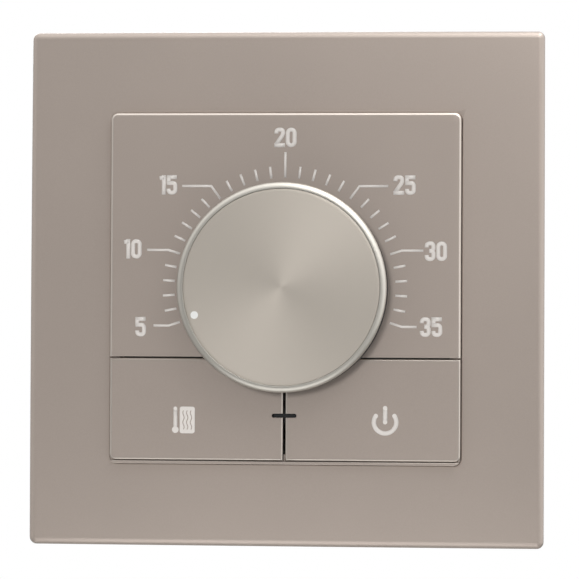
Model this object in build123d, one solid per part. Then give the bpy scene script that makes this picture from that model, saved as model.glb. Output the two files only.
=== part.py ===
from build123d import *
import os
from math import cos, radians, sin, sqrt

os.makedirs("parts", exist_ok=True)

# Flush wall thermostat. Origin on the wall plane, on the dial axis; +Z up, the front faces -Y.
# A "depth" d is the distance out of the wall: y = -d, so negative depths lie inside the wall box.

# cover frame
frame_size = 81.0
frame_corner_r = 1.2
frame_crown = 8.6             # depth of the crowned front on the axis
frame_crown_r = 1700.0
frame_edge_r = 1.1
frame_wall = 2.2
frame_roof = 6.2              # depth of the inner side of the front wall
frame_opening = 55.2
skirt_wall = 1.5

# fascia, the 55 mm centre insert
fascia_size = 55.0
fascia_corner_r = 1.1
fascia_face = 10.2
fascia_wall = 1.5
fascia_back = 3.2
plate_back = 8.4              # inner side of the front wall
plate_low = -10.65            # lower edge of the closed front
rim_face = 8.7                # side and bottom rims below the keys
lip_face = 9.9
lip_wall = 0.42

# keys
key_face = 9.9
key_back = 8.5
key_rebate = 9.3              # inner side of the thin edge over the rims
key_gap = 0.36
key_out = 27.45
key_top = -10.95
key_low = -26.97
pivot_z = -12.5
pivot_d = 7.0
pin_r = 0.8
slot_z = -19.9
slot_w, slot_h = 3.9, 0.65
press_x, press_z = 9.5, -19.8

# dial
knob_r = 16.15
knob_back = 10.9
knob_front = 18.3
lip_in = 15.2
disc_r = 15.1
disc_back = 17.3
disc_face = 18.2
hub_r = 4.6
shaft_r = 3.0
dot_r = 0.6
dot_ring = 14.0
low_end = -108.0              # dial angle of the lowest setting, from the top, clockwise

# rear parts
steel_size = 71.0
steel_t = 1.2
hole_ring = 60.0              # pitch circle of the box screws
hole_r = 1.9
tub_w, tub_span = 45.6, 34.6  # width over flats, and reach |x| + |z| at the cut corners
tub_wall = 1.5
tub_back = -24.0
flange_w = 48.6
corner_xy = 19.3              # corner screws
board_t = 1.6
control_d = 2.4
power_d = -12.0
pole_pitch = 5.08
pole_z = -13.2


def slab(w, h, d0, d1, x=0, z=0, r=0):
    """Block w wide and h high between two depths."""
    face = RectangleRounded(w, h, r) if r else Rectangle(w, h)
    return extrude(Plane.XZ.offset(d0) * Pos(x, z) * face, d1 - d0)


def rod(r, d0, d1, x=0, z=0):
    """Cylinder along the depth."""
    return extrude(Plane.XZ.offset(d0) * Pos(x, z) * Circle(r), d1 - d0)


def bar(r, x0, x1, d, z):
    """Cylinder along X."""
    return extrude(Plane.YZ.offset(x0) * Pos(-d, z) * Circle(r), x1 - x0)


def cut_square(w, span, d0, d1):
    """Square block with cut corners, where |x| + |z| reaches span."""
    a, b = w / 2, span - w / 2
    points = [(a, b), (b, a), (-b, a), (-a, b), (-a, -b), (-b, -a), (b, -a), (a, -b)]
    return extrude(Plane.XZ.offset(d0) * Polygon(*points, align=None), d1 - d0)


def turned(points):
    """Solid of revolution about the dial axis from (radius, depth) points."""
    return revolve(Polygon(*[(r, -d) for r, d in points], align=None), Axis.Y)


def edges_at(shape, d):
    return shape.edges().filter_by(lambda e: all(abs(v.Y + d) < 1e-4 for v in (e @ 0, e @ 0.5, e @ 1)))


def corners(a):
    return [(sx * a, sz * a) for sx in (-1, 1) for sz in (-1, 1)]


def group(solids):
    return Compound(children=list(solids))


parts = {}

# --- cover frame: crowned front, rolled edges, hollow back with ribs
shell = slab(frame_size, frame_size, 0, frame_crown + 1, r=frame_corner_r)
shell = shell & (Pos(0, frame_crown_r - frame_crown, 0) * Sphere(frame_crown_r))
front = shell.faces().sort_by(Axis.Y)[0]
shell = fillet(front.outer_wire().edges(), frame_edge_r)
inner = frame_size - 2 * frame_wall
skirt_out = frame_opening + 2 * skirt_wall
shell -= slab(inner, inner, 0, frame_roof)
skirt = slab(skirt_out, skirt_out, steel_t + 0.1, frame_roof)
ribs = []
for s in (-1, 1):
    for u in (-20, 20):
        mid, reach = s * (inner + skirt_out) / 4, (inner - skirt_out) / 2
        ribs += [slab(1.2, reach, 3.4, frame_roof, u, mid), slab(reach, 1.2, 3.4, frame_roof, mid, u)]
shell += skirt + ribs
shell -= slab(frame_opening, frame_opening, 0, frame_crown + 1, r=1.3)
for s in (-1, 1):
    shell -= slab(8, 6, steel_t, 5.4, 0, s * hole_ring / 2)
    shell -= slab(6, 8, steel_t, 5.4, s * hole_ring / 2, 0)
parts["cover_frame"] = shell

# --- fascia: closed front above, open below for the keys, with a thin lip along the bottom
half = fascia_size / 2
body = slab(fascia_size, fascia_size, fascia_back, fascia_face, r=fascia_corner_r)
body = fillet(edges_at(body, fascia_face), 0.5)
well = fascia_size - 2 * fascia_wall
body -= slab(well, well, fascia_back, plate_back)
low_h = half + plate_low
low_mid = plate_low - low_h / 2
body -= slab(fascia_size, low_h, lip_face, fascia_face, 0, low_mid)
body -= slab(fascia_size, low_h - lip_wall, rim_face, lip_face, 0, low_mid + lip_wall / 2)
body -= slab(well, low_h - fascia_wall, fascia_back, fascia_face, 0, low_mid + fascia_wall / 2)
body -= rod(4.2, plate_back, fascia_face)
body -= rod(2.7, fascia_face - 0.6, fascia_face, 0, 9)
body -= rod(1.4, plate_back, fascia_face, 0, 9)
parts["fascia"] = body
screw = rod(2.5, 9.6, 10.8, 0, 9) + rod(1.25, 5.0, 9.6, 0, 9)
screw -= slab(0.7, 3.2, 10.2, 10.8, 0, 9) + slab(3.2, 0.7, 10.2, 10.8, 0, 9)
parts["fascia_screw"] = screw


# --- rocking keys: a plate with a thin edge, a stiffening frame, two hinge lugs and a press post
def make_key(s):
    w = key_out - key_gap / 2
    h = key_top - key_low
    cx, cz = s * (key_out + key_gap / 2) / 2, (key_top + key_low) / 2
    plate = slab(w, h, key_back, key_face, cx, cz)
    upright = plate.edges().filter_by(Axis.Y)
    outer_low = upright.sort_by(lambda e: (e @ 0.5).Z - s * (e @ 0.5).X)[0]
    plate = fillet(outer_low, 0.9)
    plate = fillet(edges_at(plate, key_face), 0.35)
    plate -= slab(2, h + 2, key_back, key_rebate, s * 26.7, cz)
    plate -= slab(60, 2, key_back, key_rebate, 0, -26.7)
    x0, x1, z0, z1 = 4.2, 25.4, -25.4, -14.8
    mx, mz = s * (x0 + x1) / 2, (z0 + z1) / 2
    ring = slab(x1 - x0, z1 - z0, 6.6, key_back, mx, mz) - slab(x1 - x0 - 2, z1 - z0 - 2, 6.6, key_back, mx, mz)
    key = plate + ring
    for lug0, pin0 in ((6.2, 4.9), (21.4, 23.0)):
        lug_x = sorted((s * lug0, s * (lug0 + 1.6)))
        pin_x = sorted((s * pin0, s * (pin0 + 1.3)))
        key += slab(1.6, 2.2, pivot_d, key_back, sum(lug_x) / 2, pivot_z)
        key += bar(1.1, *lug_x, pivot_d, pivot_z) + bar(pin_r, *pin_x, pivot_d, pivot_z)
    key += rod(1.0, 7.62, key_back, s * press_x, press_z)
    return key - extrude(Plane.XZ.offset(key_back) * Pos(0, slot_z) * SlotOverall(slot_w, slot_h), 3)


parts["heat_key"] = make_key(-1)
parts["power_key"] = make_key(1)

# --- front carrier: tray behind the fascia with the hinge ears, switch openings and screw bosses
tray = slab(51.4, 51.4, steel_t, 5.8, r=1.0) - slab(49.0, 49.0, steel_t, 4.6)
for x, z in corners(corner_xy):
    tray += rod(2.6, control_d, 4.6, x, z)
tray += rod(2.6, 5.8, plate_back, 0, 9)
for x, z in ((22.3, 0), (-22.3, 0)):
    tray += slab(1.6, 6, 4.0, 4.6, x, z)
for z in (22.3, -22.3):
    tray += [slab(3, 1.6, 4.0, 4.6, s * 4.6, z) for s in (-1, 1)]
for s in (-1, 1):
    for ear in (4.9, 23.1):
        tray += slab(1.2, 3.0, 5.8, 8.0, s * (ear + 0.6), pivot_z)
tray -= bar(pin_r + 0.1, -25, 25, pivot_d, pivot_z)
tray -= slab(50, 1.3, pivot_d, 8.0, 0, pivot_z)
for x, z in corners(corner_xy):
    tray -= rod(1.25, control_d, 5.2, x, z)
tray -= rod(1.25, 4.6, plate_back, 0, 9)
tray -= slab(11.8, 11.8, 4.6, 5.8) + slab(4.0, 2.4, 4.6, 5.8, 0, -6.2)
tray -= [slab(5.1, 5.1, 4.6, 5.8, s * press_x, press_z) for s in (-1, 1)]
tray -= slab(6.0, 2.6, 4.6, 5.8, 0, slot_z)
tray -= slab(3.2, 2.0, 4.6, 5.8, 0, -23.1)
parts["front_carrier"] = tray
parts["light_guide"] = slab(5.8, 2.4, 5.2, 7.9, 0, slot_z) + slab(8.2, 4.4, 5.8, 6.5, 0, slot_z)

# --- steel mounting plate on the wall
steel = slab(steel_size, steel_size, 0, steel_t, r=3.0)
steel -= cut_square(tub_w + 0.4, tub_span + 0.4, 0, steel_t)
for s in (-1, 1):
    steel -= rod(hole_r, 0, steel_t, s * hole_ring / 2, 0)
    steel -= rod(hole_r, 0, steel_t, 0, s * hole_ring / 2)
steel -= [rod(1.4, 0, steel_t, x, z) for x, z in corners(corner_xy)]
parts["mounting_plate"] = steel

# --- rear housing in the wall box, with the terminal window in its back wall
tub = cut_square(tub_w, tub_span, tub_back, steel_t) + slab(flange_w, flange_w, steel_t, control_d, r=1.0)
tub -= cut_square(tub_w - 2 * tub_wall, tub_span - tub_wall * sqrt(2), tub_back + tub_wall, control_d)
tub -= slab(26.2, 12.4, tub_back, tub_back + tub_wall, 0, pole_z)
tub -= [rod(1.4, steel_t, control_d, x, z) for x, z in corners(corner_xy)]
posts = [(17.2, 6.0), (-18.3, -2.5)]
for x, z in posts:
    tub += rod(2.2, tub_back + tub_wall, power_d, x, z)
    tub -= rod(1.0, -19.2, power_d, x, z)
parts["rear_housing"] = tub
parts["housing_screws"] = group(
    rod(1.9, -1.2, 0, x, z) + rod(1.25, 0, 5.0, x, z) - slab(2.6, 0.6, -1.2, -0.6, x, z)
    for x, z in corners(corner_xy)
)

# --- potentiometer under the dial
pot = slab(11, 11, 4.0, 8.2, r=0.5) + rod(3.6, 8.2, 9.6)
pot -= rod(shaft_r + 0.1, 5.2, 9.6) + rod(4.4, 5.2, 7.2)
stop_room = [(0, 0)] + [(6.5 * sin(radians(a)), 6.5 * cos(radians(a))) for a in range(118, -119, -4)]
room = extrude(Plane.XZ.offset(5.2) * Polygon(*stop_room, align=None), 2.0)
pot -= room & rod(4.95, 5.2, 7.2)
parts["pot_housing"] = pot
parts["pot_track"] = rod(4.3, 5.2, 5.5) - rod(2.4, 5.2, 5.5)
parts["pot_terminals"] = group(
    slab(0.8, 0.4, 1.6, 5.0, x, -6.2) + slab(0.8, 0.5, 4.6, 5.0, x, -5.75) for x in (-1.6, 0, 1.6)
)
shaft = rod(shaft_r, 5.7, 16.0)
shaft -= slab(8, 3, 10.6, 16.1, 0, 1.5 + 1.5)
parts["pot_shaft"] = shaft
wiper = rod(4.25, 6.2, 6.8) - rod(shaft_r, 6.2, 6.8)
turn = Rot(0, low_end, 0)
wiper += turn * (slab(1.2, 1.0, 6.2, 6.8, 0, 4.4) & rod(4.85, 6.2, 6.8))
wiper += turn * slab(0.8, 0.6, 5.5, 6.2, 0, -3.6)
parts["pot_wiper"] = wiper

# --- dial cap with its hub and ribs, face disc, pointer dot and hub spring
cap = turned([
    (14.85, knob_back), (knob_r, knob_back), (knob_r, knob_front), (lip_in, knob_front),
    (lip_in, disc_back), (0, disc_back), (0, 16.1), (14.85, 16.1),
])
outer_rim = edges_at(cap, knob_front).sort_by(SortBy.LENGTH)[-1]
cap = fillet(outer_rim, 0.75)
cap += rod(hub_r, 11.3, 16.1)
for i in range(6):
    cap += Rot(0, 60 * i + 30, 0) * slab(1.0, 10.8, 14.4, 16.1, 0, 9.5)
cap -= rod(shaft_r + 0.05, 11.3, 16.1) & slab(8, 6, 11.3, 16.1, 0, -1.07)
parts["knob_cap"] = cap
parts["knob_clip"] = slab(4.2, 0.36, 11.8, 15.8, 0, 1.71)
disc = rod(disc_r, disc_back, disc_face)
disc = chamfer(edges_at(disc, disc_face), 0.05)
dot_x, dot_z = dot_ring * sin(radians(low_end)), dot_ring * cos(radians(low_end))
disc -= rod(dot_r, 17.7, disc_face, dot_x, dot_z)
parts["knob_disc"] = disc
parts["pointer_dot"] = rod(dot_r, 17.7, disc_face + 0.02, dot_x, dot_z)

# --- push switches below the keys
for name, s in (("heat", -1), ("power", 1)):
    x = s * press_x
    base = slab(4.5, 4.5, 4.0, 6.9, x, press_z) - rod(1.75, 5.6, 6.9, x, press_z)
    parts[name + "_switch_body"] = base
    parts[name + "_switch_cover"] = slab(4.5, 4.5, 6.9, 7.1, x, press_z) - rod(1.3, 6.9, 7.1, x, press_z)
    parts[name + "_plunger"] = rod(1.6, 6.15, 6.65, x, press_z) + rod(1.1, 6.65, 7.6, x, press_z)
parts["switch_domes"] = group(rod(1.5, 5.6, 5.8, s * press_x, press_z) for s in (-1, 1))

# --- control board and the parts on it
parts["status_led"] = slab(3.2, 1.6, 4.0, 4.8, 0, slot_z)
parts["controller_chip"] = slab(7, 7, 1.4, 2.3, -12, 8)
parts["chip_leads"] = group(
    slab(0.5, 0.3, 1.7, control_d, -12 + s * 3.9, 8 + u) + slab(0.3, 0.3, 1.7, 2.0, -12 + s * 3.65, 8 + u)
    for s in (-1, 1) for u in (-2.4, -1.2, 0, 1.2, 2.4)
)
bead = Pos(0, -4.95, -23.0) * Sphere(0.8)
parts["air_sensor"] = bead + [slab(0.3, 0.3, 4.0, 4.9, s * 0.4, -23.0) for s in (-1, 1)]
chips = [(8, 14), (12, 12), (14, 6), (12, -6), (-6, -14), (-12, -12), (6, -14), (-16, -4), (15, -2)]
parts["smd_parts"] = group(slab(2.0, 1.25, 1.8, control_d, x, z) for x, z in chips)
pin_x = [(i - 1.5) * 2.54 for i in range(4)]
parts["header_pins"] = group(slab(0.64, 0.64, -13.2, 4.4, x, 17) for x in pin_x)
header = slab(10.2, 2.5, -0.1, control_d, 0, 17)
parts["header_body"] = header - [slab(0.64, 0.64, -0.1, control_d, x, 17) for x in pin_x]
board = cut_square(47.0, 34.5, control_d, control_d + board_t)
board -= [slab(0.64, 0.64, control_d, 4.0, x, 17) for x in pin_x]
board -= [slab(0.8, 0.4, control_d, 4.0, x, -6.2) for x in (-1.6, 0, 1.6)]
parts["control_board"] = board

# --- power board and the parts on it
power_front = power_d + board_t
relay_pins = [(-14, -0.5), (-14, 12.2), (1.5, -0.5), (1.5, 12.2), (-6, -0.5)]
parts["relay_case"] = fillet(slab(19, 15.4, -22.2, power_d, -6, 5.7).edges().filter_by(Axis.Y), 0.6)
parts["relay_pins"] = group(slab(0.9, 0.5, power_d, power_front + 0.8, x, z) for x, z in relay_pins)
parts["dropper_capacitor"] = fillet(slab(18, 6, power_front, 0.4, -6, 8).edges().filter_by(Axis.Y), 0.8)
smooth = rod(4.0, power_front, -0.6, 9.5, 4)
parts["smoothing_capacitor"] = fillet(smooth.edges().sort_by(Axis.Y)[0], 0.5)
parts["fuse"] = bar(2.3, -13, -3, power_front + 2.5, -6) + [
    bar(2.45, a, a + 2, power_front + 2.5, -6) for a in (-13.2, -4.8)
]
vdr = extrude(Plane.XY.offset(-11.5) * Pos(11, -(power_front + 5.2)) * Circle(4.5), 3.2)
parts["varistor"] = vdr + [slab(0.6, 0.6, power_front, power_front + 1.4, 11 + s * 2.5, -9.9) for s in (-1, 1)]
poles = [(i - 2) * pole_pitch for i in range(5)]
block = slab(25.8, 12, tub_back, power_d, 0, pole_z, r=0.4)
cages, screws = [], []
for x in poles:
    pocket = slab(4.2, 8.6, -21.5, -14, x, pole_z)
    entry = slab(3.4, 3.4, tub_back, -21.5, x, -10.6)
    block -= pocket + entry + rod(1.75, tub_back, -21.5, x, -15.6) + slab(0.9, 0.9, -14, power_d, x, pole_z)
    cage = pocket - slab(3.0, 3.2, -21.5, -15, x, -10.6) - rod(1.25, -21.5, -16.5, x, -15.6)
    cages.append(cage + slab(0.9, 0.9, -14, power_front + 0.8, x, pole_z))
    head = rod(1.6, -23.0, -21.5, x, -15.6) - slab(3.4, 0.6, -23.0, -22.3, x, -15.6)
    screws.append(head + rod(1.25, -21.5, -16.5, x, -15.6))
parts["terminal_block"] = block
parts["terminal_cages"] = group(cages)
parts["terminal_screws"] = group(screws)
board = cut_square(42.2, 32.1, power_d, power_front)
board -= [rod(1.15, power_d, power_front, x, z) for x, z in posts]
board -= [slab(0.64, 0.64, power_d, power_front, x, 17) for x in pin_x]
board -= [slab(0.9, 0.5, power_d, power_front, x, z) for x, z in relay_pins]
board -= [slab(0.9, 0.9, power_d, power_front, x, pole_z) for x in poles]
parts["power_board"] = board
parts["board_screws"] = group(
    rod(2.0, power_front, power_front + 1.2, x, z) + rod(1.0, -18.8, power_front, x, z)
    - slab(2.8, 0.5, power_front + 0.6, power_front + 1.2, x, z)
    for x, z in posts
)

for name, shape in parts.items():
    export_step(shape, f"parts/{name}.step")
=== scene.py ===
import bpy
import bmesh
from math import cos, pi, radians, sin, tau
from mathutils import Matrix, Vector


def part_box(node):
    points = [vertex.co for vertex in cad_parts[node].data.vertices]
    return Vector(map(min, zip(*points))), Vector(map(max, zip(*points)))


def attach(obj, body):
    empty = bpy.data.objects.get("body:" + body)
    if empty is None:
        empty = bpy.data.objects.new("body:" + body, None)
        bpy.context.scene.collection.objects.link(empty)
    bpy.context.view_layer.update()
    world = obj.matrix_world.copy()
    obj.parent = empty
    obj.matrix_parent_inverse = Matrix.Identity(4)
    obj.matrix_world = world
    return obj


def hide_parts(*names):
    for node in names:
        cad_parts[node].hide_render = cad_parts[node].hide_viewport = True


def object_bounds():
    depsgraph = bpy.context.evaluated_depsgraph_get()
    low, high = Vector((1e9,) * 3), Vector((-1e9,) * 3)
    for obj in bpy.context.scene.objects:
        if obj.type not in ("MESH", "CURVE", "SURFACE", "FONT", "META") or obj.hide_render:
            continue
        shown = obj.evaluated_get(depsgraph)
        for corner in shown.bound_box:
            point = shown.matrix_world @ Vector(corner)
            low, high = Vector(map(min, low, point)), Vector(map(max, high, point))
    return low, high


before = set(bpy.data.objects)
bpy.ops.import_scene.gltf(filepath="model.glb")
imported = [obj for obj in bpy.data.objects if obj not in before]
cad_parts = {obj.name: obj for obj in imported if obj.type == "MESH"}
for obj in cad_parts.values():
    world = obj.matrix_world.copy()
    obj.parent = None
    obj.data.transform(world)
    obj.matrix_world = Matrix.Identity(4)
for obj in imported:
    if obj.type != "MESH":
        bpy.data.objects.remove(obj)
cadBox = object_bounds()
print("frame loaded,", len(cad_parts), "nodes")

# pieces are drawn in millimetres, x to the right, y up and z out of the wall, then stood up in metres.
standUp = Matrix.Rotation(pi / 2, 4, "X") @ Matrix.Scale(0.001, 4)
hair = 1e-3   # places closer than this count as the same, in millimetres
weld = 1e-4   # points closer than this are joined, in millimetres


def sidesOf(node):
    low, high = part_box(node)
    return low[0] * 1000, high[0] * 1000, low[2] * 1000, high[2] * 1000, -high[1] * 1000, -low[1] * 1000


# shared finish effects, as node groups

def newGroup(name, inputs, outputs):
    group = bpy.data.node_groups.new(name, "ShaderNodeTree")
    for label, kind, value in inputs:
        socket = group.interface.new_socket(name=label, in_out="INPUT", socket_type=kind)
        socket.default_value = value
    for label, kind in outputs:
        group.interface.new_socket(name=label, in_out="OUTPUT", socket_type=kind)
    return group, group.nodes.new("NodeGroupInput"), group.nodes.new("NodeGroupOutput")


def mathNode(tree, operation, a, b=None, c=None, clamp=False):
    node = tree.nodes.new("ShaderNodeMath")
    node.operation = operation
    node.use_clamp = clamp
    for socket, value in zip(node.inputs, (a, b, c)):
        if isinstance(value, (int, float)):
            socket.default_value = value
        elif value is not None:
            tree.links.new(value, socket)
    return node.outputs[0]


def noiseNode(tree, vector, scale, detail=2.0, rough=0.5):
    node = tree.nodes.new("ShaderNodeTexNoise")
    node.inputs["Detail"].default_value = detail
    node.inputs["Roughness"].default_value = rough
    tree.links.new(vector, node.inputs["Vector"])
    if isinstance(scale, (int, float)):
        node.inputs["Scale"].default_value = scale
    else:
        tree.links.new(scale, node.inputs["Scale"])
    return node.outputs["Fac"]


def tintNode(tree, colour, lift):
    # a colour made lighter or darker by a factor about 1
    node = tree.nodes.new("ShaderNodeVectorMath")
    node.operation = "SCALE"
    tree.links.new(colour, node.inputs[0])
    tree.links.new(lift, node.inputs["Scale"])
    return node.outputs[0]


def bumpNode(tree, height, strength, distance):
    node = tree.nodes.new("ShaderNodeBump")
    node.inputs["Distance"].default_value = distance
    tree.links.new(height, node.inputs["Height"])
    if isinstance(strength, (int, float)):
        node.inputs["Strength"].default_value = strength
    else:
        tree.links.new(strength, node.inputs["Strength"])
    return node.outputs["Normal"]


def makeGrainGroup():
    # fine grain with a slow mottle: sprayed metallic paint and moulded plastic
    group, given, put = newGroup(
        "surfaceGrain",
        [("Colour", "NodeSocketColor", (0.5, 0.5, 0.5, 1)), ("Roughness", "NodeSocketFloat", 0.5),
         ("Grain Scale", "NodeSocketFloat", 6000.0), ("Grain", "NodeSocketFloat", 0.05),
         ("Mottle Scale", "NodeSocketFloat", 60.0), ("Mottle", "NodeSocketFloat", 0.04),
         ("Bump", "NodeSocketFloat", 0.1)],
        [("Colour", "NodeSocketColor"), ("Roughness", "NodeSocketFloat"), ("Normal", "NodeSocketVector")])
    place = group.nodes.new("ShaderNodeTexCoord").outputs["Object"]
    grain = noiseNode(group, place, given.outputs["Grain Scale"], 2.0, 0.6)
    mottle = noiseNode(group, place, given.outputs["Mottle Scale"], 3.0, 0.55)
    grainLift = mathNode(group, "MULTIPLY", mathNode(group, "SUBTRACT", grain, 0.5), given.outputs["Grain"])
    mottleLift = mathNode(group, "MULTIPLY", mathNode(group, "SUBTRACT", mottle, 0.5),
                          given.outputs["Mottle"])
    lift = mathNode(group, "ADD", mathNode(group, "ADD", grainLift, mottleLift), 1.0)
    group.links.new(tintNode(group, given.outputs["Colour"], lift), put.inputs["Colour"])
    roughLift = mathNode(group, "MULTIPLY", mottleLift, 0.8)
    rough = mathNode(group, "ADD", given.outputs["Roughness"], roughLift, clamp=True)
    group.links.new(rough, put.inputs["Roughness"])
    group.links.new(bumpNode(group, grain, given.outputs["Bump"], 0.00002), put.inputs["Normal"])
    return group


def makeSpunGroup():
    # turning marks: fine rings about the dial axis, on colour, roughness and height
    group, given, put = newGroup(
        "spunRings",
        [("Colour", "NodeSocketColor", (0.6, 0.6, 0.6, 1)), ("Roughness", "NodeSocketFloat", 0.35),
         ("Ring Scale", "NodeSocketFloat", 5000.0), ("Rings", "NodeSocketFloat", 0.08),
         ("Bump", "NodeSocketFloat", 0.2)],
        [("Colour", "NodeSocketColor"), ("Roughness", "NodeSocketFloat"), ("Normal", "NodeSocketVector")])
    place = group.nodes.new("ShaderNodeTexCoord").outputs["Object"]
    split = group.nodes.new("ShaderNodeSeparateXYZ")
    group.links.new(place, split.inputs[0])
    across = mathNode(group, "MULTIPLY", split.outputs[0], split.outputs[0])
    upright = mathNode(group, "MULTIPLY", split.outputs[2], split.outputs[2])
    radius = mathNode(group, "SQRT", mathNode(group, "ADD", across, upright))
    rings = group.nodes.new("ShaderNodeTexNoise")
    rings.noise_dimensions = "1D"
    rings.inputs["Detail"].default_value = 3.0
    group.links.new(mathNode(group, "MULTIPLY", radius, given.outputs["Ring Scale"]), rings.inputs["W"])
    rings.inputs["Scale"].default_value = 1.0
    ring = mathNode(group, "SUBTRACT", rings.outputs["Fac"], 0.5)
    lift = mathNode(group, "MULTIPLY_ADD", ring, given.outputs["Rings"], 1.0)
    group.links.new(tintNode(group, given.outputs["Colour"], lift), put.inputs["Colour"])
    rough = mathNode(group, "MULTIPLY_ADD", ring, given.outputs["Rings"], given.outputs["Roughness"],
                     clamp=True)
    group.links.new(rough, put.inputs["Roughness"])
    normal = bumpNode(group, rings.outputs["Fac"], given.outputs["Bump"], 0.00001)
    group.links.new(normal, put.inputs["Normal"])
    return group


def makeRolledGroup():
    # rolled or drawn metal: long faint streaks along X and a soft spangle
    group, given, put = newGroup(
        "rolledMetal",
        [("Colour", "NodeSocketColor", (0.6, 0.6, 0.6, 1)), ("Roughness", "NodeSocketFloat", 0.35),
         ("Streaks", "NodeSocketFloat", 0.15), ("Spangle", "NodeSocketFloat", 0.15),
         ("Bump", "NodeSocketFloat", 0.1)],
        [("Colour", "NodeSocketColor"), ("Roughness", "NodeSocketFloat"), ("Normal", "NodeSocketVector")])
    place = group.nodes.new("ShaderNodeTexCoord").outputs["Object"]
    stretch = group.nodes.new("ShaderNodeMapping")
    stretch.inputs["Scale"].default_value = (60, 4000, 4000)
    group.links.new(place, stretch.inputs["Vector"])
    streak = mathNode(group, "SUBTRACT", noiseNode(group, stretch.outputs[0], 1.0, 3.0), 0.5)
    cells = group.nodes.new("ShaderNodeTexVoronoi")
    cells.inputs["Scale"].default_value = 450
    group.links.new(place, cells.inputs["Vector"])
    spangle = mathNode(group, "SUBTRACT", cells.outputs["Color"], 0.5)
    lift = mathNode(group, "ADD", mathNode(group, "MULTIPLY", streak, given.outputs["Streaks"]),
                    mathNode(group, "MULTIPLY", spangle, given.outputs["Spangle"]))
    tint = tintNode(group, given.outputs["Colour"], mathNode(group, "ADD", lift, 1.0))
    group.links.new(tint, put.inputs["Colour"])
    rough = mathNode(group, "ADD", given.outputs["Roughness"], lift, clamp=True)
    group.links.new(rough, put.inputs["Roughness"])
    group.links.new(bumpNode(group, streak, given.outputs["Bump"], 0.00001), put.inputs["Normal"])
    return group


grainGroup, spunGroup, rolledGroup = makeGrainGroup(), makeSpunGroup(), makeRolledGroup()


def makeMaterial(name, group, colour, rough, metal=0.0, effect=None, shader=None):
    # effect: values for the group's sockets; shader: values for the shader's own sockets
    material = bpy.data.materials.new(name)
    material.use_nodes = True
    tree = material.node_tree
    principled = tree.nodes["Principled BSDF"]
    finish = tree.nodes.new("ShaderNodeGroup")
    finish.node_tree = group
    finish.inputs["Colour"].default_value = (*colour, 1)
    finish.inputs["Roughness"].default_value = rough
    for label, value in (effect or {}).items():
        finish.inputs[label].default_value = value
    tree.links.new(finish.outputs["Colour"], principled.inputs["Base Color"])
    tree.links.new(finish.outputs["Roughness"], principled.inputs["Roughness"])
    tree.links.new(finish.outputs["Normal"], principled.inputs["Normal"])
    principled.inputs["Metallic"].default_value = metal
    for label, value in (shader or {}).items():
        principled.inputs[label].default_value = value
    return material


champagne = makeMaterial("champagnePaint", grainGroup, (0.375, 0.318, 0.280), 0.42, 0.50,
                         {"Grain Scale": 5000, "Grain": 0.10, "Mottle Scale": 45, "Mottle": 0.05,
                          "Bump": 0.12},
                         {"Coat Weight": 0.2, "Coat Roughness": 0.22})
# lighter, more metallic copy of the champagne paint for the rounded front edges of fascia and keys: painted
# highlight
edgeHighlightPaint = makeMaterial("edgeHighlightPaint", grainGroup, (0.50, 0.455, 0.41), 0.34, 0.9,
                         {"Grain Scale": 5000, "Grain": 0.06, "Mottle": 0.04, "Bump": 0.06})
dialRim = makeMaterial("dialRim", spunGroup, (0.45, 0.43, 0.39), 0.45, 1.0,
                       {"Ring Scale": 9000, "Rings": 0.05, "Bump": 0.05})
# near-black matte paint on the dial's side wall below the lip: painted shade for the dark side beside the
# dial
dialSidePaintedShade = makeMaterial("dialSidePaintedShade", grainGroup, (0.02, 0.0205, 0.023), 0.7, 0.0,
                         {"Grain Scale": 5000, "Grain": 0.08, "Bump": 0.15}, {"Specular IOR Level": 0.15})
spunFace = makeMaterial("spunFace", spunGroup, (0.52, 0.475, 0.42), 0.5, 1.0,
                        {"Ring Scale": 7000, "Rings": 0.06, "Bump": 0.10},
                        {"Anisotropic": 0.3, "Anisotropic Rotation": 0.25})
spunTree = spunFace.node_tree
tangent = spunTree.nodes.new("ShaderNodeTangent")   # the spun grain runs round the dial's axis
tangent.direction_type = "RADIAL"
tangent.axis = "Y"
spunTree.links.new(tangent.outputs[0], spunTree.nodes["Principled BSDF"].inputs["Tangent"])
printInk = makeMaterial("printInk", grainGroup, (0.66, 0.62, 0.585), 0.5, 0.0,
                        {"Grain Scale": 9000, "Grain": 0.06, "Bump": 0.05})
whiteDot = makeMaterial("whiteDot", grainGroup, (0.72, 0.72, 0.70), 0.4, 0.0, {"Grain": 0.02, "Bump": 0.02})
darkWindow = makeMaterial("darkWindow", grainGroup, (0.012, 0.012, 0.013), 0.2, 0.0,
                          {"Grain": 0.02, "Bump": 0.02})
greyMoulding = makeMaterial("greyMoulding", grainGroup, (0.20, 0.205, 0.21), 0.55, 0.0,
                            {"Grain Scale": 3500, "Grain": 0.08, "Bump": 0.35})
lightMoulding = makeMaterial("lightMoulding", grainGroup, (0.60, 0.60, 0.565), 0.5, 0.0,
                             {"Grain Scale": 3000, "Grain": 0.06, "Bump": 0.4})
blackMoulding = makeMaterial("blackMoulding", grainGroup, (0.022, 0.022, 0.024), 0.45, 0.0,
                             {"Grain Scale": 4000, "Grain": 0.1, "Bump": 0.3})
blueMoulding = makeMaterial("blueMoulding", grainGroup, (0.03, 0.10, 0.36), 0.35, 0.0,
                            {"Grain": 0.04, "Bump": 0.1})
yellowMoulding = makeMaterial("yellowMoulding", grainGroup, (0.62, 0.42, 0.05), 0.35, 0.0,
                              {"Grain": 0.04, "Bump": 0.1})
redLacquer = makeMaterial("redLacquer", grainGroup, (0.40, 0.05, 0.03), 0.3, 0.0,
                          {"Grain": 0.06, "Bump": 0.2})
boardGreen = makeMaterial("boardGreen", grainGroup, (0.015, 0.13, 0.05), 0.32, 0.0,
                          {"Grain Scale": 900, "Grain": 0.15, "Bump": 0.15})
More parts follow.
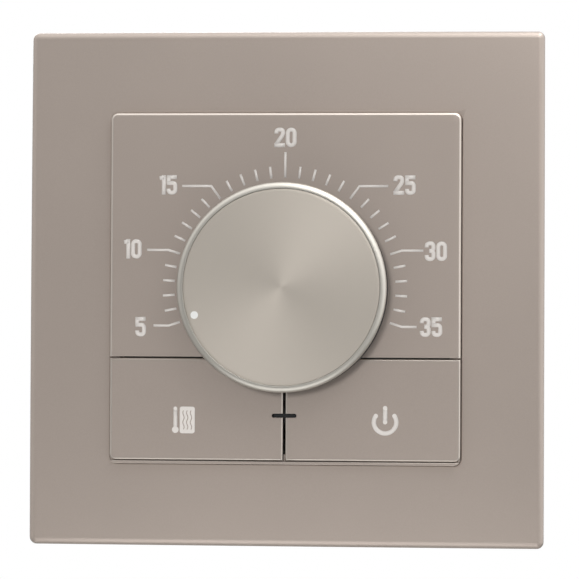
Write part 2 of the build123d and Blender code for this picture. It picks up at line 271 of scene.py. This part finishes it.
fuseGlaze = makeMaterial("fuseGlaze", grainGroup, (0.74, 0.72, 0.66), 0.3, 0.0,
                         {"Grain": 0.03, "Bump": 0.05})
carbonFilm = makeMaterial("carbonFilm", grainGroup, (0.03, 0.03, 0.03), 0.6, 0.0,
                          {"Grain": 0.2, "Bump": 0.2})
zincSteel = makeMaterial("zincSteel", rolledGroup, (0.60, 0.61, 0.62), 0.34, 1.0,
                         {"Streaks": 0.10, "Spangle": 0.16, "Bump": 0.1})
brightSteel = makeMaterial("brightSteel", rolledGroup, (0.66, 0.66, 0.66), 0.25, 1.0,
                           {"Streaks": 0.1, "Spangle": 0.03})
turnedBrass = makeMaterial("turnedBrass", rolledGroup, (0.72, 0.52, 0.22), 0.3, 1.0,
                           {"Streaks": 0.12, "Spangle": 0.03})
tinPlate = makeMaterial("tinPlate", rolledGroup, (0.68, 0.68, 0.66), 0.3, 1.0,
                        {"Streaks": 0.08, "Spangle": 0.05})
canAluminium = makeMaterial("canAluminium", rolledGroup, (0.70, 0.71, 0.72), 0.32, 1.0,
                            {"Streaks": 0.06, "Spangle": 0.04})
print("finishes made:", len(bpy.data.materials))

finishOf = {
    "fascia_screw": zincSteel, "front_carrier": greyMoulding, "light_guide": darkWindow,
    "mounting_plate": zincSteel, "rear_housing": lightMoulding, "housing_screws": zincSteel,
    "control_board": boardGreen, "power_board": boardGreen, "board_screws": zincSteel,
    "header_body": blackMoulding, "header_pins": turnedBrass, "pot_housing": blackMoulding,
    "pot_track": carbonFilm, "pot_terminals": tinPlate, "pot_shaft": canAluminium, "pot_wiper": brightSteel,
    "heat_switch_body": blackMoulding, "power_switch_body": blackMoulding, "heat_switch_cover": brightSteel,
    "power_switch_cover": brightSteel, "heat_plunger": blackMoulding, "power_plunger": blackMoulding,
    "switch_domes": brightSteel, "status_led": whiteDot, "controller_chip": blackMoulding,
    "chip_leads": tinPlate, "air_sensor": blackMoulding, "smd_parts": blackMoulding,
    "relay_case": blueMoulding, "relay_pins": tinPlate, "dropper_capacitor": yellowMoulding,
    "smoothing_capacitor": canAluminium, "fuse": fuseGlaze, "varistor": redLacquer,
    "terminal_block": greyMoulding, "terminal_cages": turnedBrass, "terminal_screws": zincSteel,
    "knob_clip": brightSteel, "cover_frame": champagne, "fascia": champagne, "heat_key": champagne,
    "power_key": champagne, "knob_cap": dialRim, "knob_disc": spunFace, "pointer_dot": whiteDot,
}
for node, material in finishOf.items():
    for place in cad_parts[node].material_slots:
        place.material = material


# modelling helpers

def flatOutline(bm, left, right, low, high, z):
    corners = [bm.verts.new(p) for p in ((left, low, z), (right, low, z), (right, high, z), (left, high, z))]
    return bm.faces.new(corners)


def cutAt(bm, axis, places):
    normal = Vector((0, 0, 0))
    normal[axis] = 1
    for place in places:
        bmesh.ops.bisect_plane(bm, geom=bm.verts[:] + bm.edges[:] + bm.faces[:],
                               plane_co=normal * place, plane_no=normal)


def shiftMade(bm, made, height):
    # moves what an extrusion has just made along z
    bmesh.ops.translate(bm, verts=[g for g in made if isinstance(g, bmesh.types.BMVert)], vec=(0, 0, height))


def lift(bm, faces, height):
    edges = {e for f in faces for e in f.edges}   # with its edges, the region leaves no face behind inside
    shiftMade(bm, bmesh.ops.extrude_face_region(bm, geom=faces + list(edges))["geom"], height)
    bm.normal_update()


def facesAt(bm, z, test=lambda c: True):
    return [f for f in bm.faces if abs(f.calc_center_median().z - z) < hair and abs(f.normal.z) > 0.9
            and test(f.calc_center_median())]


def roundEdges(bm, edges, radius, segments):
    bmesh.ops.bevel(bm, geom=edges, offset=radius, offset_type="OFFSET", segments=segments, profile=0.5,
                    affect="EDGES", material=-1, clamp_overlap=True)


def roundCorners(bm, verts, radius, segments, clamp=True):
    bmesh.ops.bevel(bm, geom=verts, offset=radius, offset_type="OFFSET", segments=segments, profile=0.5,
                    affect="VERTICES", material=-1, clamp_overlap=clamp)


def edgesWhere(bm, test):
    # both ends and the middle pass the test, which takes one point
    return [e for e in bm.edges if test(e.verts[0].co) and test(e.verts[1].co)
            and test((e.verts[0].co + e.verts[1].co) / 2)]


def polishEdges(bm, front, depth):
    # the rounded front edges take the piece's second material, a lighter and more metallic copy of the
    # paint: a painted highlight along these edges
    bm.normal_update()
    for face in bm.faces:
        if face.calc_center_median().z > front - depth and 0.1 < face.normal.z < 0.99:
            face.material_index = 1


def addBlock(bm, left, right, low, high, back, front):
    size = Matrix.Diagonal((right - left, high - low, front - back, 1))
    middle = Matrix.Translation(((left + right) / 2, (low + high) / 2, (back + front) / 2))
    bmesh.ops.create_cube(bm, size=1, matrix=middle @ size)


def addBar(bm, radius, start, end):
    # round bar along X between two points
    middle = (Vector(start) + Vector(end)) / 2
    turn = Matrix.Rotation(pi / 2, 4, "Y")
    bmesh.ops.create_cone(bm, cap_ends=True, segments=32, radius1=radius, radius2=radius,
                          depth=abs(end[0] - start[0]), matrix=Matrix.Translation(middle) @ turn)


def finishPiece(bm, name, material, body, replaced=(), sharp=32, flatFaces=True):
    bmesh.ops.remove_doubles(bm, verts=bm.verts, dist=weld)
    bmesh.ops.recalc_face_normals(bm, faces=bm.faces)
    bmesh.ops.transform(bm, matrix=standUp, verts=bm.verts)
    mesh = bpy.data.meshes.new(name)
    bm.to_mesh(mesh)
    bm.free()
    mesh.shade_smooth()
    mesh.set_sharp_from_angle(angle=radians(sharp))
    mesh.materials.append(material)
    piece = bpy.data.objects.new(name, mesh)
    bpy.context.scene.collection.objects.link(piece)
    if replaced:
        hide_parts(*replaced)
    if flatFaces:
        flat = piece.modifiers.new("flatFaces", "WEIGHTED_NORMAL")   # wide faces stay flat by rounded edges
        flat.keep_sharp = True
    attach(piece, body)
    return piece


# cover frame: crowned ring with rolled edges, hollow behind

frameShape = dict(opening=55.2, roll=1.1, openingCorner=1.2, openingEdge=0.2, crownRadius=1700.0, wall=2.0,
                  crownFrom=4.0, sliceWidth=4.5, slices=8, skirtBack=1.3, notchHalf=4.0, notchTop=5.4,
                  ribWidth=1.2, ribBack=3.4, ribFront=6.3, ribAt=20.0, ribBite=0.05)


def buildCoverFrame():
    s = frameShape
    left, right, low, high, _, front = sidesOf("cover_frame")
    half, hole = right, s["opening"] / 2
    top = front + hole ** 2 / (2 * s["crownRadius"])
    bm = bmesh.new()
    addBlock(bm, left, right, low, high, 0, top)
    bm.normal_update()
    bmesh.ops.delete(bm, geom=facesAt(bm, 0), context="FACES_ONLY")
    face = facesAt(bm, top)[0]
    bmesh.ops.inset_region(bm, faces=[face], thickness=half - hole, use_even_offset=True)
    rim = list(face.edges)
    bmesh.ops.delete(bm, geom=[face], context="FACES_ONLY")
    shiftMade(bm, bmesh.ops.extrude_edge_only(bm, edges=rim)["geom"], s["skirtBack"] - top)
    cutAt(bm, 0, (-s["notchHalf"], s["notchHalf"]))
    cutAt(bm, 1, (-s["notchHalf"], s["notchHalf"]))
    cutAt(bm, 2, (s["notchTop"],))
    inNotch = lambda c: (max(abs(c.x), abs(c.y)) < hole + 0.1 and min(abs(c.x), abs(c.y)) < s["notchHalf"]
                         and c.z < s["notchTop"])
    notches = [f for f in bm.faces if inNotch(f.calc_center_median())]
    bmesh.ops.delete(bm, geom=notches, context="FACES")
    bmesh.ops.recalc_face_normals(bm, faces=bm.faces)
    bmesh.ops.solidify(bm, geom=bm.faces[:], thickness=s["wall"])
    outer = lambda c: max(abs(c.x), abs(c.y)) > half - hair
    corner = lambda c, at: abs(abs(c.x) - at) < hair and abs(abs(c.y) - at) < hair
    rolled = lambda c: (outer(c) and c.z > top - hair) or corner(c, half)
    roundEdges(bm, edgesWhere(bm, rolled), s["roll"], 8)
    roundEdges(bm, edgesWhere(bm, lambda c: corner(c, hole)), s["openingCorner"], 6)
    bm.normal_update()
    lips = [e for e in edgesWhere(bm, lambda c: c.z > top - hair and max(abs(c.x), abs(c.y)) < hole + hair)
            if e.calc_face_angle(0) > 1]
    roundEdges(bm, lips, s["openingEdge"], 3)
    slices = [step * s["sliceWidth"] for step in range(-s["slices"], s["slices"] + 1)]
    cutAt(bm, 0, slices)
    cutAt(bm, 1, slices)
    for vert in bm.verts:
        share = max(0.0, (vert.co.z - s["crownFrom"]) / (top - s["crownFrom"]))
        vert.co.z -= share * (vert.co.x ** 2 + vert.co.y ** 2) / (2 * s["crownRadius"])
    inside, skirt = half - s["wall"] - s["ribBite"], hole + s["wall"] + s["ribBite"]
    w = s["ribWidth"] / 2
    for side in (-1, 1):
        a, b = sorted((side * inside, side * skirt))
        for at in (-s["ribAt"], s["ribAt"]):
            addBlock(bm, at - w, at + w, a, b, s["ribBack"], s["ribFront"])
            addBlock(bm, a, b, at - w, at + w, s["ribBack"], s["ribFront"])
    finishPiece(bm, "coverFrame", champagne, "base", ["cover_frame"])


# fascia: closed plate above, side walls and bottom lip around the key well

fasciaShape = dict(wall=1.5, plateLow=-10.75, plateBack=8.4, rimFront=8.7, lip=0.42, lipFront=10.05,
                   corner=1.1, edge=0.5, softEdge=0.12, lipEdge=0.19, highlightBand=0.6, shaftHole=4.2)


def buildFascia():
    s = fasciaShape
    left, right, low, high, back, front = sidesOf("fascia")
    well, hole = right - s["wall"], s["shaftHole"]
    bm = bmesh.new()
    flatOutline(bm, left, right, low, high, back)
    roundCorners(bm, bm.verts[:], s["corner"], 8)
    cutAt(bm, 0, (-well, -hole, hole, well))
    cutAt(bm, 1, (low + s["lip"], -well, s["plateLow"], -hole, hole, well))
    inWell = lambda c: abs(c.x) < well and abs(c.y) < well
    window = [f for f in bm.faces
              if inWell(f.calc_center_median()) and f.calc_center_median().y < s["plateLow"]]
    bmesh.ops.delete(bm, geom=window, context="FACES")
    lift(bm, bm.faces[:], s["rimFront"] - back)
    lift(bm, facesAt(bm, s["rimFront"], lambda c: c.y > s["plateLow"]), front - s["rimFront"])
    lift(bm, facesAt(bm, s["rimFront"], lambda c: c.y < low + s["lip"]), s["lipFront"] - s["rimFront"])
    lift(bm, facesAt(bm, back, inWell), s["plateBack"] - back)
    middle = lambda c: abs(c.x) < hole and abs(c.y) < hole
    holes = facesAt(bm, front, middle) + facesAt(bm, s["plateBack"], middle)
    edges = [e for f in holes for e in f.edges]
    bmesh.ops.delete(bm, geom=holes, context="FACES_ONLY")
    bmesh.ops.bridge_loops(bm, edges=edges)
    bmesh.ops.recalc_face_normals(bm, faces=bm.faces)
    atCorner = lambda c: abs(abs(c.x) - hole) < hair and abs(abs(c.y) - hole) < hair
    roundEdges(bm, edgesWhere(bm, atCorner), hole * 0.98, 8)   # the square hole becomes round
    folded = lambda z: [e for e in edgesWhere(bm, lambda c: abs(c.z - z) < hair)
                        if e.calc_face_angle(0) > 1]
    atHole = lambda e: max(abs(e.verts[0].co.x), abs(e.verts[0].co.y)) < hole + 1
    atLow = lambda e: max(abs(v.co.y - s["plateLow"]) for v in e.verts) < hair
    roundEdges(bm, [e for e in folded(front) if not atHole(e) and not atLow(e)], s["edge"], 6)
    bm.normal_update()
    roundEdges(bm, folded(s["lipFront"]), s["lipEdge"], 4)
    bm.normal_update()
    roundEdges(bm, [e for e in folded(front) if atLow(e)], s["softEdge"], 3)
    polishEdges(bm, front, s["highlightBand"])
    shell = finishPiece(bm, "fasciaShell", champagne, "base", ["fascia"])
    # second material slot: the painted edge highlight
    shell.data.materials.append(edgeHighlightPaint)


# rocking keys: rounded plate with the window notch, stiffening frame, hinge lugs and press post

keyShape = dict(plateBack=8.5, rebate=9.3, reach=25.7, notchHalf=1.95, notchHeight=0.65, notchAt=-19.9,
                edge=0.32, highlightBand=0.4, corner=0.9, frameIn=4.2, frameOut=25.4, frameLow=-25.4,
                frameHigh=-14.8, frameBack=6.6, frameWall=1.0, pivotUp=-12.5, pivotOut=7.0,
                lugs=((6.2, 4.9), (21.4, 23.0)), lugWidth=1.6, lugHalf=1.1, pinRadius=0.8, pinLength=1.3,
                pressAt=(9.5, -19.8, 7.66), pressRadius=1.0)


def buildKey(node, name, body, side):
    s = keyShape
    left, right, low, high, _, front = sidesOf(node)
    near, far = sorted((abs(left), abs(right)))   # drawn as the right key, mirrored for the left
    bm = bmesh.new()
    flatOutline(bm, near, far, low, high, s["rebate"])
    roundCorners(bm, [v for v in bm.verts if v.co.x > far - hair and v.co.y < low + hair], s["corner"], 6)
    halfNotch = s["notchHeight"] / 2
    cutAt(bm, 0, (s["notchHalf"], s["reach"]))
    cutAt(bm, 1, (-s["reach"], s["notchAt"] - halfNotch, s["notchAt"] + halfNotch))
    notch = [f for f in bm.faces if f.calc_center_median().x < s["notchHalf"]
             and abs(f.calc_center_median().y - s["notchAt"]) < halfNotch]
    bmesh.ops.delete(bm, geom=notch, context="FACES")
    lift(bm, bm.faces[:], front - s["rebate"])
    thick = facesAt(bm, s["rebate"], lambda c: c.x < s["reach"] and c.y > -s["reach"])
    lift(bm, thick, s["plateBack"] - s["rebate"])
    bmesh.ops.recalc_face_normals(bm, faces=bm.faces)
    inNotch = lambda c: c.x < s["notchHalf"] + hair and abs(c.y - s["notchAt"]) < halfNotch + hair
    roundEdges(bm, edgesWhere(bm, lambda c: abs(c.x - s["notchHalf"]) < hair and inNotch(c)
                              and abs(abs(c.y - s["notchAt"]) - halfNotch) < hair), halfNotch * 0.98, 5)
    bm.normal_update()
    rim = [e for e in edgesWhere(bm, lambda c: abs(c.z - front) < hair) if e.calc_face_angle(0) > 1
           and not all(inNotch(v.co) for v in e.verts)]
    roundEdges(bm, rim, s["edge"], 5)
    polishEdges(bm, front, s["highlightBand"])
    a, b, c, d, t = s["frameIn"], s["frameOut"], s["frameLow"], s["frameHigh"], s["frameWall"]
    for block in ((a, b, c, c + t), (a, b, d - t, d), (a, a + t, c + t, d - t), (b - t, b, c + t, d - t)):
        addBlock(bm, *block, s["frameBack"], s["plateBack"])
    y, z = s["pivotUp"], s["pivotOut"]
    for lug, pin in s["lugs"]:
        addBlock(bm, lug, lug + s["lugWidth"], y - s["lugHalf"], y + s["lugHalf"], z, s["plateBack"])
        addBar(bm, s["lugHalf"], (lug, y, z), (lug + s["lugWidth"], y, z))
        addBar(bm, s["pinRadius"], (pin, y, z), (pin + s["pinLength"], y, z))
    x, y, z = s["pressAt"]
    bmesh.ops.create_cone(bm, cap_ends=True, segments=32, radius1=s["pressRadius"], radius2=s["pressRadius"],
                          depth=s["plateBack"] - z,
                          matrix=Matrix.Translation((x, y, (s["plateBack"] + z) / 2)))
    if side < 0:
        bmesh.ops.scale(bm, verts=bm.verts, vec=(-1, 1, 1))
    key = finishPiece(bm, name, champagne, body, [node])
    # second material slot: the painted edge highlight
    key.data.materials.append(edgeHighlightPaint)


# dial: turned cap with a rounded lip, spun face disc and pointer dot

dialShape = dict(wall=1.3, lip=1.02, lipOuter=0.90, lipInner=0.05, backOuter=0.15, backInner=0.1,
                 shadeBelow=17.3, floor=17.3, roof=16.1, hubOut=4.6, hubIn=3.05, hubBack=11.3, ribs=6,
                 ribHalf=0.5, ribBack=14.4, discEdge=0.05, dotEdge=0.06, steps=160, hubSteps=48, dotSteps=40)


def spinProfile(bm, points, rounding, steps):
    # rounding: point index to (radius, segments); the profile is closed, or ends on the axis
    verts = [bm.verts.new((r, 0, z)) for r, z in points]
    edges = [bm.edges.new(pair) for pair in zip(verts, verts[1:])]
    if points[0][0] > 0:
        edges.append(bm.edges.new((verts[-1], verts[0])))
    known = set(bm.verts) - set(verts)
    for index, (radius, segments) in rounding.items():
        roundCorners(bm, [verts[index]], radius, segments, clamp=False)
    mine = [v for v in bm.verts if v not in known]
    lines = [e for e in bm.edges if e.verts[0] not in known]
    bmesh.ops.spin(bm, geom=mine + lines, cent=(0, 0, 0), axis=(0, 0, 1), angle=tau, steps=steps,
                   use_merge=True)
    bmesh.ops.remove_doubles(bm, verts=bm.verts, dist=weld)


def buildDial():
    s = dialShape
    _, r, _, _, back, front = sidesOf("knob_cap")
    bm = bmesh.new()
    spinProfile(bm, [(0, s["floor"]), (r - s["lip"], s["floor"]), (r - s["lip"], front), (r, front),
                     (r, back), (r - s["wall"], back), (r - s["wall"], s["roof"]), (0, s["roof"])],
                {2: (s["lipInner"], 2), 3: (s["lipOuter"], 10), 4: (s["backOuter"], 3),
                 5: (s["backInner"], 2)}, s["steps"])
    hub = bmesh.new()
    spinProfile(hub, [(s["hubIn"], s["hubBack"]), (s["hubOut"], s["hubBack"]), (s["hubOut"], s["roof"]),
                      (s["hubIn"], s["roof"])], {}, s["hubSteps"])
    hubMesh = bpy.data.meshes.new("hub")
    hub.to_mesh(hubMesh)
    hub.free()
    bm.from_mesh(hubMesh)
    bpy.data.meshes.remove(hubMesh)
    for rib in range(s["ribs"]):
        known = set(bm.verts)
        addBlock(bm, -s["ribHalf"], s["ribHalf"], s["hubOut"] - 0.1, r - s["wall"] + 0.1,
                 s["ribBack"], s["roof"] + 0.05)   # bites a little into hub, wall and roof
        bmesh.ops.rotate(bm, verts=[v for v in bm.verts if v not in known], cent=(0, 0, 0),
                         matrix=Matrix.Rotation(tau * rib / s["ribs"], 3, "Z"))
    # side faces below the lip take the near-black second material: painted shade
    for face in bm.faces:
        middle = face.calc_center_median()
        if middle.xy.length > r - 0.2 and middle.z < s["shadeBelow"]:
            face.material_index = 1
    cap = finishPiece(bm, "dialCap", dialRim, "dial", ["knob_cap"], 40)
    # second material slot: the painted shade on the dial's side wall
    cap.data.materials.append(dialSidePaintedShade)

    _, r, _, _, back, front = sidesOf("knob_disc")
    bm = bmesh.new()
    spinProfile(bm, [(0, back), (r, back), (r, front), (r - 0.5, front), (0, front)],
                {2: (s["discEdge"], 3)}, s["steps"])
    finishPiece(bm, "dialFace", spunFace, "dial", ["knob_disc"], 40, flatFaces=False)

    left, right, low, high, back, front = sidesOf("pointer_dot")
    bm = bmesh.new()
    dotRadius = (right - left) / 2
    spinProfile(bm, [(0, back), (dotRadius, back), (dotRadius, front), (0, front)],
                {2: (s["dotEdge"], 3)}, s["dotSteps"])
    bmesh.ops.translate(bm, verts=bm.verts, vec=((left + right) / 2, (low + high) / 2, 0))
    finishPiece(bm, "pointerDot", whiteDot, "dial", ["pointer_dot"], 60)


# print on the fascia and the keys: thin raised strokes

printShape = dict(height=0.025, step=0.004, tickIn=17.3, tickOut=19.15, longTick=21.3, tickWidth=0.36,
                  digitWidth=1.68, oneWidth=0.98, oneShift=0.08, digitGap=0.12, stroke=0.62,
                  degreesPerUnit=7.2, first=5, middle=20, last=35,
                  leaderEnds={15: -16.17, 25: 16.1, 10: -21.65, 30: 21.6, 5: -20.58, 35: 20.6},
                  leaderBend={15: 19.75, 25: 19.75, 10: 19.2, 30: 19.2, 5: 19.1, 35: 19.25},
                  numberAt={5: (-22.6, -6.1), 10: (-23.9, 6.1), 15: (-18.35, 16.15), 20: (0, 23.6),
                            25: (18.65, 16.15), 30: (23.55, 5.85), 35: (22.85, -5.95)})
digitStrokes = {   # centre lines in millimetres from the digit's middle, each with its corner radius
    "0": [([(-0.53, -1.215), (0.53, -1.215), (0.53, 1.215), (-0.53, 1.215)], 0.5)],
    "1": [([(0.1, -1.525), (0.1, 1.525)], 0), ([(-0.57, 1.06), (0.1, 1.19)], 0)],
    "2": [([(-0.53, 0.6), (-0.53, 1.215), (0.53, 1.215), (0.53, 0.45), (-0.5, -1.02)], 0.42),
          ([(-0.84, -1.215), (0.84, -1.215)], 0)],
    "3": [([(-0.53, 0.6), (-0.53, 1.215), (0.53, 1.215), (0.53, 0.06), (-0.14, 0.06)], 0.42),
          ([(-0.14, 0.04), (0.53, 0.04), (0.53, -1.215), (-0.53, -1.215), (-0.53, -0.6)], 0.42)],
    "5": [([(-0.84, 1.215), (0.78, 1.215)], 0), ([(-0.53, 1.2), (-0.53, 0.15)], 0),
          ([(-0.8, 0.3), (0.53, 0.3), (0.53, -1.215), (-0.53, -1.215), (-0.53, -0.6)], 0.42)],
}


def strokeRibbon(bm, points, height, radius=0.0, closed=False):
    # a line of points, rounded at its corners and raised into a standing ribbon, which gets its width last
    known = set(bm.verts)
    verts = [bm.verts.new((x, y, z)) for x, y, z in points]
    for pair in zip(verts, verts[1:] + verts[:1] if closed else verts[1:]):
        bm.edges.new(pair)
    if radius:
        roundCorners(bm, verts if closed else verts[1:-1], radius, 5)
    edges = [e for e in bm.edges if e.verts[0] not in known]
    shiftMade(bm, bmesh.ops.extrude_edge_only(bm, edges=edges)["geom"], height)


def addDot(bm, x, y, z, radius, height):
    made = bmesh.ops.create_circle(bm, cap_ends=True, segments=32, radius=radius,
                                   matrix=Matrix.Translation((x, y, z)))
    lift(bm, list({f for v in made["verts"] for f in v.link_faces}), height)


def finishPrint(bm, name, width, body="base", material=None):
    piece = finishPiece(bm, name, material or printInk, body, sharp=60, flatFaces=False)
    widen = piece.modifiers.new("width", "SOLIDIFY")
    widen.thickness = width / 1000
    widen.offset = 0
    widen.use_even_offset = True
    return piece


def buildScale():
    s = printShape
    z = sidesOf("fascia")[5]
    bm = bmesh.new()
    for value in range(s["first"], s["last"] + 1):
        turn = radians((value - s["middle"]) * s["degreesPerUnit"])
        ray = Vector((sin(turn), cos(turn), 0))
        ends = [ray * s["tickIn"], ray * s["tickOut"]]
        if value == s["middle"]:
            ends[1] = ray * s["longTick"]
        elif value in s["leaderEnds"]:
            bend = ray * s["leaderBend"][value]
            ends = [ray * s["tickIn"], bend, Vector((s["leaderEnds"][value], bend.y, 0))]
        strokeRibbon(bm, [(p.x, p.y, z) for p in ends], s["height"])
    finishPrint(bm, "scaleTicks", s["tickWidth"])

    bm = bmesh.new()
    for value, (x, y) in s["numberAt"].items():
        digits = str(value)
        widths = [s["oneWidth"] if digit == "1" else s["digitWidth"] for digit in digits]
        start = x - (sum(widths) + s["digitGap"] * (len(digits) - 1)) / 2
        for digit, wide in zip(digits, widths):
            middle = start + wide / 2 + (s["oneShift"] if digit == "1" else 0)
            for layer, (path, radius) in enumerate(digitStrokes[digit]):
                strokeRibbon(bm, [(middle + u, y + v, z) for u, v in path],
                             s["height"] + s["step"] * layer, radius, digit == "0")
            start += wide + s["digitGap"]
    finishPrint(bm, "scaleNumbers", s["stroke"])


symbolShape = dict(powerAt=(15.76, -20.8), powerRadius=1.75, powerStroke=0.68, powerOpen=56, powerSteps=24,
                   barTop=2.2, stemAt=-17.07, stemLow=-22.2, stemHigh=-18.9, bulb=0.52, stemStroke=0.6,
                   panel=(-16.38, -14.02, -22.75, -18.58), panelCorner=0.35, waves=3, waveWidth=0.14,
                   waveSwing=0.11, waveMargin=0.6, waveSteps=16, waveHeight=0.006)


def buildSymbols():
    s = symbolShape
    z, high, step = sidesOf("power_key")[5], printShape["height"], printShape["step"]
    bm = bmesh.new()
    x, y = s["powerAt"]
    sweep = 360 - 2 * s["powerOpen"]
    turns = [radians(s["powerOpen"] + sweep * k / s["powerSteps"]) for k in range(s["powerSteps"] + 1)]
    arc = [(x + s["powerRadius"] * sin(turn), y + s["powerRadius"] * cos(turn)) for turn in turns]
    strokeRibbon(bm, [(u, v, z) for u, v in arc], high)
    strokeRibbon(bm, [(x, y + s["barTop"], z), (x, y, z)], high)
    finishPrint(bm, "powerSymbol", s["powerStroke"], "power_key_body")
    bm = bmesh.new()
    for u, v in ((x, y), (x, y + s["barTop"]), arc[0], arc[-1]):
        addDot(bm, u, v, z, s["powerStroke"] / 2, high + step)
    finishPiece(bm, "powerSymbolEnds", printInk, "power_key_body", flatFaces=False)

    bm = bmesh.new()
    left, right, low, top = s["panel"]
    flatOutline(bm, left, right, low, top, z)
    roundCorners(bm, bm.verts[:], s["panelCorner"], 5)
    lift(bm, bm.faces[:], high)
    finishPiece(bm, "panelSymbol", printInk, "heat_key_body")

    bm = bmesh.new()
    for wave in range(s["waves"]):
        middle = left + (right - left) * (wave + 1) / (s["waves"] + 1)
        rise = (top - low - 2 * s["waveMargin"]) / s["waveSteps"]
        path = [(middle + s["waveSwing"] * sin(k * pi / 4), low + s["waveMargin"] + rise * k, z + high)
                for k in range(s["waveSteps"] + 1)]
        strokeRibbon(bm, path, s["waveHeight"])
    finishPrint(bm, "panelWaves", s["waveWidth"], "heat_key_body", champagne)

    bm = bmesh.new()
    strokeRibbon(bm, [(s["stemAt"], s["stemLow"], z), (s["stemAt"], s["stemHigh"], z)], high)
    finishPrint(bm, "thermometerStem", s["stemStroke"], "heat_key_body")
    bm = bmesh.new()
    addDot(bm, s["stemAt"], s["stemLow"], z, s["bulb"], high + step)
    addDot(bm, s["stemAt"], s["stemHigh"], z, s["stemStroke"] / 2, high + step)
    finishPiece(bm, "thermometerBulb", printInk, "heat_key_body", flatFaces=False)


buildCoverFrame()
buildFascia()
buildKey("heat_key", "heatKey", "heat_key_body", -1)
buildKey("power_key", "powerKey", "power_key_body", 1)
buildDial()
print("front pieces built")
buildScale()
buildSymbols()
print("print laid")

# studio: pale floor, soft lights, surroundings bright all round and dimmer in front

studio = dict(floorDown=0.10, floorRadius=0.26, sideGlow=1.3, frontGlow=0.42, sideFrom=0.45, frontFrom=0.97,
              skyGlow=0.8, rightGlow=0.35, softGlow=0.20,
              lights=(("softKey", (-0.055, -0.95, 0.070), 0.09, 7.0, "diffuse"),
                      ("window", (0.22, -0.50, 0.36), 0.26, 1.35, "gloss"),
                      ("sky", (0.20, -0.14, 0.40), 0.26, 1.2, "gloss"),
                      ("tableGlow", (0.0, -0.045, -0.092), 0.11, 0.06, "gloss"),
                      ("backFill", (-0.2, 0.6, 0.3), 0.40, 3.0, "both")))


def buildFloor():
    bm = bmesh.new()
    axis = (cadBox[0][2] + cadBox[1][2]) / 2
    bmesh.ops.create_circle(bm, cap_ends=True, segments=96, radius=studio["floorRadius"],
                            matrix=Matrix.Translation((0, 0, axis - studio["floorDown"])))
    mesh = bpy.data.meshes.new("floor")
    bm.to_mesh(mesh)
    bm.free()
    floor = bpy.data.objects.new("floor", mesh)
    bpy.context.scene.collection.objects.link(floor)
    mesh.materials.append(makeMaterial("floorPale", grainGroup, (0.82, 0.82, 0.81), 0.7, 0.0,
                                       {"Grain Scale": 400, "Grain": 0.02, "Mottle": 0.02, "Bump": 0.0}))


def buildSurround():
    world = bpy.data.worlds.new("surround")
    bpy.context.scene.world = world
    world.use_nodes = True
    tree = world.node_tree
    lit = tree.nodes["Background"]
    split = tree.nodes.new("ShaderNodeSeparateXYZ")
    tree.links.new(tree.nodes.new("ShaderNodeTexCoord").outputs["Generated"], split.inputs[0])
    facing = tree.nodes.new("ShaderNodeMapRange")   # 0 straight in front or behind, 1 all round the sides
    facing.interpolation_type = "SMOOTHSTEP"
    tree.links.new(mathNode(tree, "ABSOLUTE", split.outputs[1]), facing.inputs["Value"])
    for label, value in (("From Min", studio["frontFrom"]), ("From Max", studio["sideFrom"]),
                         ("To Min", studio["frontGlow"]), ("To Max", studio["sideGlow"])):
        facing.inputs[label].default_value = value
    above = mathNode(tree, "MAXIMUM", split.outputs[2], 0.0)
    upward = mathNode(tree, "MULTIPLY_ADD", above, studio["skyGlow"], 1.0)
    around = mathNode(tree, "MULTIPLY_ADD", split.outputs[0], studio["rightGlow"], upward)
    shine = mathNode(tree, "MULTIPLY", facing.outputs[0], around)
    rays = tree.nodes.new("ShaderNodeLightPath")
    extra = mathNode(tree, "SUBTRACT", shine, studio["softGlow"])   # only reflections see the bright part
    glow = mathNode(tree, "MULTIPLY", rays.outputs["Is Glossy Ray"], extra)
    tree.links.new(mathNode(tree, "ADD", glow, studio["softGlow"]), lit.inputs["Strength"])
    seen = tree.nodes.new("ShaderNodeBackground")
    mix = tree.nodes.new("ShaderNodeMixShader")
    tree.links.new(rays.outputs["Is Camera Ray"], mix.inputs[0])
    tree.links.new(lit.outputs[0], mix.inputs[1])
    tree.links.new(seen.outputs[0], mix.inputs[2])
    tree.links.new(mix.outputs[0], tree.nodes["World Output"].inputs["Surface"])
    for shader in (lit, seen):
        shader.inputs["Color"].default_value = (1, 1, 1, 1)


def buildLights():
    for name, place, size, power, reach in studio["lights"]:
        lamp = bpy.data.lights.new(name, "AREA")
        lamp.size = size
        lamp.energy = power
        holder = bpy.data.objects.new(name, lamp)
        turn = Vector(place).to_track_quat("Z", "Y").to_matrix().to_4x4()
        holder.matrix_world = Matrix.Translation(place) @ turn
        holder.visible_glossy = reach != "diffuse"
        holder.visible_diffuse = reach != "gloss"
        holder.visible_camera = False
        bpy.context.scene.collection.objects.link(holder)


camera = dict(azimuth=3.9, elevation=-1.2, roll=0.3, distance=0.380, lens=151.3,
              aim=(0.00076, -0.0102, -0.00019))


def placeCamera():
    side, rise = radians(camera["azimuth"]), radians(camera["elevation"])
    away = Vector((sin(side) * cos(rise), -cos(side) * cos(rise), sin(rise)))
    lens = bpy.data.cameras.new("viewCamera")
    lens.lens = camera["lens"]
    lens.sensor_width = 36
    lens.clip_start = 0.01
    holder = bpy.data.objects.new("viewCamera", lens)
    holder.matrix_world = (Matrix.Translation(Vector(camera["aim"]) + away * camera["distance"])
                           @ away.to_track_quat("Z", "Y").to_matrix().to_4x4()
                           @ Matrix.Rotation(radians(camera["roll"]), 4, "Z"))
    bpy.context.scene.collection.objects.link(holder)
    bpy.context.scene.camera = holder


buildFloor()
buildSurround()
buildLights()
placeCamera()
bpy.context.scene.view_settings.view_transform = "Standard"
print("studio set")
